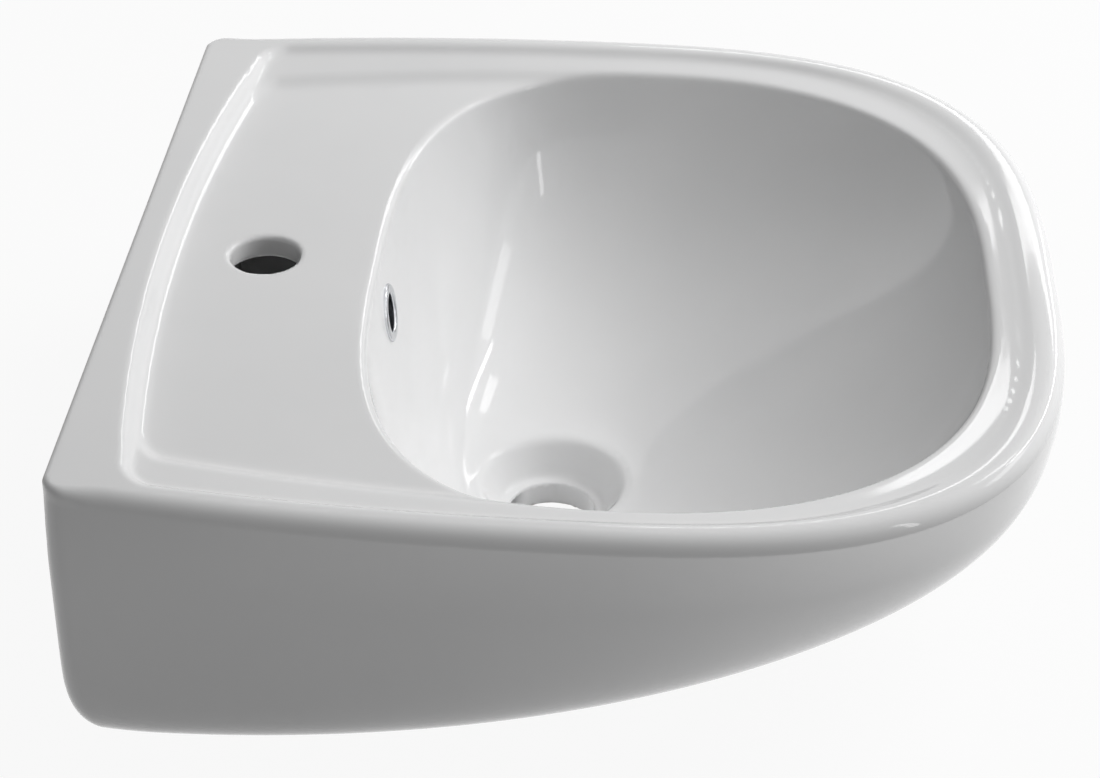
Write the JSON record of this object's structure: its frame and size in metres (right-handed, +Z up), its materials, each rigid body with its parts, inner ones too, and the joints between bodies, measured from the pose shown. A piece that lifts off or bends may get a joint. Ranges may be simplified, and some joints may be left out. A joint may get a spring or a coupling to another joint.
{
  "type": "wall-hung washbasin",
  "caption": "Wall-hung washbasin in glazed ceramic with a D-shaped bowl, a raised rim, a sunk tap deck with one tap hole, and a metal-ringed overflow.",
  "frame": {"origin": "on the flat back, midway between the two wall-fixing holes", "axes": "+Y into the wall, square to the flat back; X along the wall; +Z up"},
  "size_m": [0.4741, 0.464, 0.176],
  "materials": {
    "glazed_china": "white glaze, high gloss",
    "chrome": "polished chrome plate"
  },
  "bodies": {
    "root": {"basin": "glazed_china", "overflow_ring": "chrome"}
  },
  "joints": []
}
